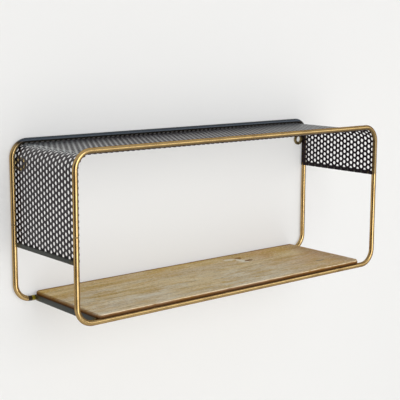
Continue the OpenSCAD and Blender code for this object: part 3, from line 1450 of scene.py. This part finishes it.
@dataclass
class Plank(Assembly):
    """The rough-sawn plank, with worn edges and chipped corners."""

    finish: RoughSawnWood
    cell: float = 3 * MM
    edge_lines: tuple[float, ...] = (0.4 * MM, 0.9 * MM, 1.6 * MM)
    least_round: float = 0.5 * MM
    most_round: float = 1.5 * MM
    round_scale: float = 55.0
    round_layer: float = 3.0
    sway: float = 0.7 * MM
    sway_scale: float = 34.0
    sway_line: tuple[float, float] = (7.0, 1.0)
    sway_reach: float = 12 * MM
    ridge: float = 0.25 * MM
    ridge_scales: tuple[float, float] = (40.0, 260.0)
    ridge_layer: float = 5.0
    chip_drop: float = 0.5
    corner_reach: float = 1 * MM
    sharp_degrees: float = 50.0
    chips: tuple[Chip, ...] = (
        Chip(0.269, -0.087, 9 * MM, 3.5 * MM),
        Chip(-0.269, -0.087, 7 * MM, 2.2 * MM),
        Chip(-0.269, 0.084, 6 * MM, 2.0 * MM),
        Chip(0.214, -0.087, 6 * MM, 1.1 * MM),
        Chip(-0.032, -0.087, 8 * MM, 0.9 * MM),
        Chip(-0.171, -0.087, 7 * MM, 1.0 * MM),
    )

    def build(self) -> Iterator[bpy.types.Object]:
        """Wear down a finely divided board."""
        low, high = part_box("plank")
        shape = self._board(low, high)
        for vertex in shape.verts:
            vertex.co = self._worn(vertex.co, low, high)
        round_off(shape, self.sharp_degrees)
        piece = new_piece("plank_board", shape, self.finish.material())
        yield settle(piece, Slot.WOOD, "plank")

    def _stops(self, low: float, high: float) -> list[float]:
        """Divide one side of the board, finely near its edges.

        Args:
            low: Where the side starts.
            high: Where the side ends.

        Returns:
            The places of the dividing lines.
        """
        start = [low] + [low + line for line in self.edge_lines]
        end = [high - line for line in reversed(self.edge_lines)] + [high]
        count = max(1, round((end[0] - start[-1]) / self.cell))
        inner = [start[-1] + (end[0] - start[-1]) * k / count for k in range(1, count)]
        return start + inner + end

    def _board(self, low: Vector, high: Vector) -> bmesh.types.BMesh:
        """Make the closed skin of a divided board.

        Args:
            low: The lowest corner.
            high: The highest corner.

        Returns:
            The skin.
        """
        stops = [self._stops(low[axis], high[axis]) for axis in range(3)]
        shape = bmesh.new()
        made: dict[tuple[int, int, int], bmesh.types.BMVert] = {}

        def corner(key: tuple[int, int, int]) -> bmesh.types.BMVert:
            """Give the vertex at a crossing of the dividing lines."""
            if key not in made:
                made[key] = shape.verts.new([stops[axis][key[axis]] for axis in range(3)])
            return made[key]

        for axis in range(3):
            across, along = (axis + 1) % 3, (axis + 2) % 3
            for side in (0, len(stops[axis]) - 1):
                for i in range(len(stops[across]) - 1):
                    for j in range(len(stops[along]) - 1):
                        ring = []
                        for step_i, step_j in ((0, 0), (1, 0), (1, 1), (0, 1)):
                            key = [0, 0, 0]
                            key[axis] = side
                            key[across] = i + step_i
                            key[along] = j + step_j
                            ring.append(corner((key[0], key[1], key[2])))
                        shape.faces.new(ring if side else reversed(ring))
        return shape

    @staticmethod
    def _wander(x: float, y: float, layer: float) -> float:
        """Give a smooth random number from 0 to 1, of its own for each layer."""
        return noise.noise(Vector((x, y, layer))) * 0.5 + 0.5

    def _worn(self, point: Vector, low: Vector, high: Vector) -> Vector:
        """Round, chip and roughen one point of the board's skin.

        Args:
            point: The point on the sharp board.
            low: The board's lowest corner.
            high: The board's highest corner.

        Returns:
            The point on the worn board, inside the sharp one.
        """
        wander = self._wander(point.x * self.round_scale, point.y * self.round_scale, self.round_layer)
        radius = self.least_round + (self.most_round - self.least_round) * wander
        core = Vector([min(max(point[k], low[k] + radius), high[k] - radius) for k in range(3)])
        out = point - core
        moved = core + out.normalized() * radius
        front = max(0.0, 1 - (point.y - low.y) / self.sway_reach)
        rear = max(0.0, 1 - (high.y - point.y) / self.sway_reach)
        moved.y += (front - rear) * self._wander(point.x * self.sway_scale, *self.sway_line) * self.sway
        top = (point.z - low.z) / (high.z - low.z)
        along, across = self.ridge_scales
        moved.z -= top * self._wander(point.x * along, point.y * across, self.ridge_layer) * self.ridge
        for chip in self.chips:
            away = Vector((point.x - chip.x, point.y - chip.y)).length
            if away < chip.reach:
                bite = (1 - away / chip.reach) * chip.depth
                moved.y -= math.copysign(bite, chip.y)
                moved.z -= top * bite * self.chip_drop
                if abs(abs(chip.x) - high.x) < self.corner_reach:
                    moved.x -= math.copysign(bite, chip.x)
        return moved


@dataclass
class HangingRings(Assembly):
    """The washer-like rings in the rear frame's top corners."""

    finish: DarkBrass
    round_edge: float = 0.9 * MM
    edge_steps: int = 5
    turn_steps: int = 56

    def build(self) -> Iterator[bpy.types.Object]:
        """Turn each ring about its own bore."""
        for end in End:
            side = end.name.lower()
            node = f"{side}_hang_ring"
            shape = self._ring(node, mount_radius(f"{side}_hang_bore"))
            piece = new_piece(f"{node}_turned", shape, self.finish.material())
            yield settle(piece, Slot.RING, node)

    def _section(self, bore: float, outer: float, near: float, far: float) -> list[tuple[float, float]]:
        """Draw the ring's section with rounded corners.

        Args:
            bore: The bore's radius.
            outer: The outside radius.
            near: The front face's place along the axis.
            far: The rear face's place along the axis.

        Returns:
            Points of radius and place along the axis, round the section.
        """
        edge = self.round_edge
        corners = (
            (outer - edge, far - edge, 0), (bore + edge, far - edge, 90),
            (bore + edge, near + edge, 180), (outer - edge, near + edge, 270),
        )
        points = []
        for radius, place, start in corners:
            for k in range(self.edge_steps + 1):
                angle = math.radians(start + 90 * k / self.edge_steps)
                points.append((radius + edge * math.cos(angle), place + edge * math.sin(angle)))
        return points

    def _ring(self, node: str, bore: float) -> bmesh.types.BMesh:
        """Turn the section about the bore's axis, which runs along Y.

        Args:
            node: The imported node.
            bore: The bore's radius.

        Returns:
            The ring.
        """
        low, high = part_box(node)
        middle = (low + high) / 2
        section = self._section(bore, (high.x - low.x) / 2, low.y, high.y)
        shape = bmesh.new()
        loops = []
        for k in range(self.turn_steps):
            angle = math.tau * k / self.turn_steps
            around = Vector((math.cos(angle), 0, math.sin(angle)))
            loops.append([
                shape.verts.new(Vector((middle.x, place, middle.z)) + around * radius)
                for radius, place in section
            ])
        for k, loop in enumerate(loops):
            following = loops[(k + 1) % self.turn_steps]
            for i in range(len(section)):
                j = (i + 1) % len(section)
                shape.faces.new((loop[i], loop[j], following[j], following[i]))
        bmesh.ops.recalc_face_normals(shape, faces=shape.faces)
        round_off(shape)
        return shape


@dataclass
class PlankScrews(Assembly):
    """The countersunk screws that hold the plank, their cross slots facing down."""

    finish: ZincSteel
    head_radius: float = 3.5 * MM
    shank_radius: float = 1.75 * MM
    shank_fit: float = 0.98
    slot_width: float = 0.9 * MM
    slot_length: float = 4.2 * MM
    slot_depth: float = 1.1 * MM
    sides: int = 32
    bars: tuple[str, ...] = ("left_base_bar", "centre_base_bar", "right_base_bar")

    def build(self) -> Iterator[bpy.types.Object]:
        """Cut one screw and repeat it at each hole."""
        low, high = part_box("plank_screws")
        places = []
        for bar in self.bars:
            bar_low, bar_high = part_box(bar)
            for y in (low.y + self.head_radius, high.y - self.head_radius):
                places.append(Vector(((bar_low.x + bar_high.x) / 2, y, low.z)))
        recipe = Recipe("countersunk_screws", {
            "Head radius": self.head_radius,
            "Shank radius": self.shank_radius,
            "Length": high.z - low.z,
            "Slot width": self.slot_width,
            "Slot length": self.slot_length,
            "Slot depth": self.slot_depth,
            "Sides": self.sides,
        })
        graph, size = recipe.graph, recipe.size
        head_height = size("Head radius") - size("Shank radius")
        head = graph.node("GeometryNodeMeshCone", inputs={
            "Vertices": size("Sides"),
            "Radius Bottom": size("Head radius"),
            "Radius Top": size("Shank radius"),
            "Depth": head_height,
        })
        shank = graph.node("GeometryNodeMeshCylinder", inputs={
            "Vertices": size("Sides"),
            "Radius": size("Shank radius") * self.shank_fit,
            "Depth": size("Length") - head_height / 2,
        })
        lift = graph.vector(0, 0, size("Length") / 2 + head_height / 4)
        shank = graph.node("GeometryNodeTransform", inputs={"Geometry": shank, "Translation": lift})
        slots = []
        for wide, long in (("Slot width", "Slot length"), ("Slot length", "Slot width")):
            box = graph.vector(size(wide), size(long), size("Slot depth") * 2)
            slots.append(graph.node("GeometryNodeMeshCube", inputs={"Size": box}))
        body = graph.node("GeometryNodeMeshBoolean", {"operation": "UNION"}, {"Mesh 2": [head, shank]})
        feeds = {"Mesh 1": body, "Mesh 2": slots}
        screw = graph.node("GeometryNodeMeshBoolean", {"operation": "DIFFERENCE"}, feeds)
        piece = recipe.bake(recipe.smooth(recipe.repeat(screw)), self.finish, places)
        yield settle(piece, Slot.SCREW, "plank_screws")


@dataclass
class WeldBeads(Assembly):
    """Beads of weld metal where the bars and the rings meet the rods."""

    finish: DarkBrass
    bead_radius: float = 1.15 * MM
    bead_step: float = 1.5 * MM
    least_size: float = 0.75
    ball_steps: int = 2
    lumpiness: float = 0.5 * MM
    lump_scale: float = 900.0
    lump_middle: float = 0.6
    sharp_degrees: float = 80.0
    seed: int = 4

    # Places of the beads, in bead radii and along the rings
    inset_share: float = 0.4
    foot_share: float = 1.6
    head_share: float = 1.4
    ring_rises: tuple[float, ...] = (-2.2 * MM, -0.8 * MM, 0.8 * MM, 2.2 * MM)

    def build(self) -> Iterator[bpy.types.Object]:
        """Lay a lumpy bead on every point of the welds."""
        recipe = Recipe("weld_beads", {
            "Bead radius": self.bead_radius,
            "Lumpiness": self.lumpiness,
            "Least size": self.least_size,
            "Seed": self.seed,
        })
        graph, size = recipe.graph, recipe.size
        feeds = {"Radius": size("Bead radius"), "Subdivisions": self.ball_steps}
        ball = graph.node("GeometryNodeMeshIcoSphere", inputs=feeds)
        grow = graph.node(
            "FunctionNodeRandomValue",
            {"data_type": "FLOAT"},
            {2: size("Least size"), 3: 1.0, "Seed": size("Seed")},
            1,
        )
        lumps = graph.node("ShaderNodeTexNoise", inputs={"Scale": self.lump_scale, "Detail": 1.0})
        normal = graph.node("GeometryNodeInputNormal")
        push = (lumps - self.lump_middle) * size("Lumpiness")
        offset = graph.node("ShaderNodeVectorMath", {"operation": "SCALE"}, {0: normal, "Scale": push})
        beads = recipe.move(recipe.repeat(ball, grow), offset)
        piece = recipe.bake(recipe.smooth(beads, self.sharp_degrees), self.finish, list(self._places()))
        yield settle(piece, Slot.RING)

    def _line(self, start: Vector, stop: Vector) -> Iterator[Vector]:
        """Give points along a weld.

        Args:
            start: One end of the weld.
            stop: The other end.

        Yields:
            Points about a bead's step apart.
        """
        count = max(1, round((stop - start).length / self.bead_step))
        for k in range(count + 1):
            yield start.lerp(stop, k / count)

    def _places(self) -> Iterator[Vector]:
        """Give the points of all welds, in the corners between bars, rings and rods."""
        inset = self.inset_share * self.bead_radius
        foot = self.foot_share * self.bead_radius
        head = self.head_share * self.bead_radius
        for node in ("left_side_bar", "right_side_bar"):
            low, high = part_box(node)
            outer_x = low.x if low.x < 0 else high.x
            for y in (low.y + inset, high.y - inset):
                start = Vector((outer_x, y, low.z + inset))
                yield from self._line(start, Vector((outer_x, y, high.z - inset)))
        for node in ("left_base_bar", "centre_base_bar", "right_base_bar"):
            low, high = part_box(node)
            for y in (low.y, high.y):
                z = low.z + foot
                yield from self._line(Vector((low.x + inset, y, z)), Vector((high.x - inset, y, z)))
                for x in (low.x, high.x):
                    yield from self._line(Vector((x, y, z)), Vector((x, y, high.z - head)))
        for node in ("left_hang_ring", "right_hang_ring"):
            low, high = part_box(node)
            touch_x = low.x if low.x < 0 else high.x
            middle_z = (low.z + high.z) / 2
            for rise in self.ring_rises:
                yield Vector((touch_x, (low.y + high.y) / 2, middle_z + rise))


@dataclass(frozen=True)
class Window:
    """A soft lamp that faces the shelf, with its power in watts."""

    name: str
    place: tuple[float, float, float]
    width: float
    height: float
    power: float


@dataclass
class Studio:
    """The camera, the pale wall and floor, and soft light from the front, the right and above."""

    camera_place: tuple[float, float, float] = (-0.9936, -1.1654, 0.3889)
    yaw_degrees: float = 39.96
    pitch_degrees: float = 9.44
    roll_degrees: float = 0.22
    focal_pixels: float = 979.8
    picture_pixels: float = 400.0
    sensor_mm: float = 36.0

    # Wall and floor
    wall_gap: float = 0.4 * MM
    wall_half: float = 4.0
    wall_tone: Colour = tone(245, 244, 241)
    wall_glow: float = 0.76
    haze_tone: Colour = tone(236, 238, 240)
    haze_share: float = 0.4
    floor_z: float = -1.2
    floor_tone: Colour = tone(236, 234, 230)

    # Light
    windows: tuple[Window, ...] = (
        Window("front_window", (-0.1, -2.6, 0.1), 1.5, 3.2, 41.0),
        Window("side_window", (1.65, -1.95, 0.62), 1.5, 0.6, 3.8),
    )
    window_tint: tuple[float, float, float] = (1.0, 0.995, 0.98)
    window_aim: tuple[float, float, float] = (0.0, 0.0, 0.12)
    room_dark: Colour = tone(64, 46, 24)
    room_light: Colour = tone(253, 253, 255)
    room_strength: float = 0.8
    ahead_way: tuple[float, float] = (0.3, -0.95)
    ahead_span: Span = (0.35, 0.9)
    above_span: Span = (0.2, 0.8)
    above_share: float = 0.78

    def build(self) -> None:
        """Set up the camera, the stage and the light."""
        self._camera()
        wall_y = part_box("rear_frame")[1].y + self.wall_gap
        half = self.wall_half
        wall = self._plane("wall", self._wall_paint())
        wall.location = (0, wall_y, half + self.floor_z)
        wall.rotation_euler = (math.pi / 2, 0, 0)
        floor = self._plane("floor", self._floor_paint())
        floor.location = (0, wall_y - half, self.floor_z)
        for window in self.windows:
            self._lamp(window)
        self._world()
        bpy.context.scene.view_settings.view_transform = "Standard"

    def _camera(self) -> None:
        """Stand the camera where the picture was taken from."""
        data = bpy.data.cameras.new("camera")
        data.sensor_width = self.sensor_mm
        data.lens = self.focal_pixels * self.sensor_mm / self.picture_pixels
        camera = bpy.data.objects.new("camera", data)
        turn = Matrix.Rotation(-math.radians(self.yaw_degrees), 4, "Z")
        tilt = Matrix.Rotation(math.radians(90 - self.pitch_degrees), 4, "X")
        roll = Matrix.Rotation(math.radians(self.roll_degrees), 4, "Z")
        camera.matrix_world = Matrix.Translation(self.camera_place) @ turn @ tilt @ roll
        bpy.context.scene.collection.objects.link(camera)
        bpy.context.scene.camera = camera

    def _plane(self, name: str, paint: bpy.types.Material) -> bpy.types.Object:
        """Add a large square to the stage.

        Args:
            name: The square's name.
            paint: Its material.

        Returns:
            The square, level at the origin.
        """
        shape = bmesh.new()
        bmesh.ops.create_grid(shape, x_segments=1, y_segments=1, size=self.wall_half)
        plane = new_piece(name, shape, paint)
        return plane

    def _wall_paint(self) -> bpy.types.Material:
        """Make matt paint with a pale haze over it, which lights what is close and is open from behind.

        Returns:
            The material.
        """
        made = bpy.data.materials.new("wall_paint")
        graph = Graph.emptied(made)
        seen = graph.node("ShaderNodeLightPath", output="Is Camera Ray")
        behind = graph.node("ShaderNodeNewGeometry", output="Backfacing")
        matt = graph.node("ShaderNodeBsdfDiffuse", inputs={"Color": self.wall_tone})
        haze = graph.node("ShaderNodeEmission", inputs={"Color": self.haze_tone, "Strength": 1.0})
        lifted = graph.node("ShaderNodeMixShader", inputs={0: self.haze_share, 1: matt, 2: haze})
        feeds = {"Color": self.wall_tone, "Strength": self.wall_glow}
        glow = graph.node("ShaderNodeEmission", inputs=feeds)
        front = graph.node("ShaderNodeMixShader", inputs={0: seen, 1: glow, 2: lifted})
        clear = graph.node("ShaderNodeBsdfTransparent")
        either = graph.node("ShaderNodeMixShader", inputs={0: behind, 1: front, 2: clear})
        graph.node("ShaderNodeOutputMaterial", inputs={"Surface": either})
        return made

    def _floor_paint(self) -> bpy.types.Material:
        """Make matt paint for the floor.

        Returns:
            The material.
        """
        made = bpy.data.materials.new("floor_paint")
        graph = Graph.emptied(made)
        matt = graph.node("ShaderNodeBsdfDiffuse", inputs={"Color": self.floor_tone})
        graph.node("ShaderNodeOutputMaterial", inputs={"Surface": matt})
        return made

    def _lamp(self, window: Window) -> None:
        """Hang up a window's lamp, turned to the shelf and unseen by the camera.

        Args:
            window: The window.
        """
        data = bpy.data.lights.new(window.name, "AREA")
        data.shape = "RECTANGLE"
        data.size = window.width
        data.size_y = window.height
        data.energy = window.power
        data.color = self.window_tint
        lamp = bpy.data.objects.new(window.name, data)
        lamp.location = window.place
        way = Vector(self.window_aim) - Vector(window.place)
        lamp.rotation_euler = way.to_track_quat("-Z", "Y").to_euler()
        lamp.visible_camera = False
        bpy.context.scene.collection.objects.link(lamp)

    def _world(self) -> None:
        """Fill the room with light that is brighter before the wall and above."""
        world = bpy.data.worlds.new("room")
        bpy.context.scene.world = world
        graph = Graph.emptied(world)
        x, y, z = graph.parts(graph.node("ShaderNodeTexCoord", output="Generated"))
        ahead = weighted((x, y), self.ahead_way).step(*self.ahead_span)
        above = z.step(*self.above_span) * self.above_share
        colour = graph.mix(ahead.most(above), self.room_dark, self.room_light)
        light = graph.node("ShaderNodeBackground", inputs={"Color": colour, "Strength": self.room_strength})
        graph.node("ShaderNodeOutputWorld", inputs={"Surface": light})


def main() -> None:
    """Build every part of the shelf, then the studio round it."""
    logging.basicConfig(level=logging.INFO, format="%(message)s")
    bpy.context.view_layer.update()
    sizes = ShelfSizes.measure()
    sheet_paint = BlackSheetPaint()
    low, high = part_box("plank")
    assemblies: list[Assembly] = [
        RodFrame(sizes, Face.FRONT, AgedBrass("front_brass", seam_z=0.126)),
        RodFrame(sizes, Face.REAR, AgedBrass("rear_brass", seam_z=0.118, soot=Soot())),
        PerforatedSheet(sizes, sheet_paint),
        RearShadeStrip(sizes, sheet_paint),
        CrossBars(DarkBarPaint()),
        Plank(RoughSawnWood(tuple(low), tuple(high))),
        HangingRings(DarkBrass("ring_brass")),
        PlankScrews(ZincSteel()),
        WeldBeads(DarkBrass("weld_metal", brown=tone(52, 44, 22))),
    ]
    for assembly in assemblies:
        for piece in assembly.build():
            LOG.info("%s: %s, %d faces", type(assembly).__name__, piece.name, len(piece.data.polygons))
    Studio().build()


if __name__ == "__main__":
    main()
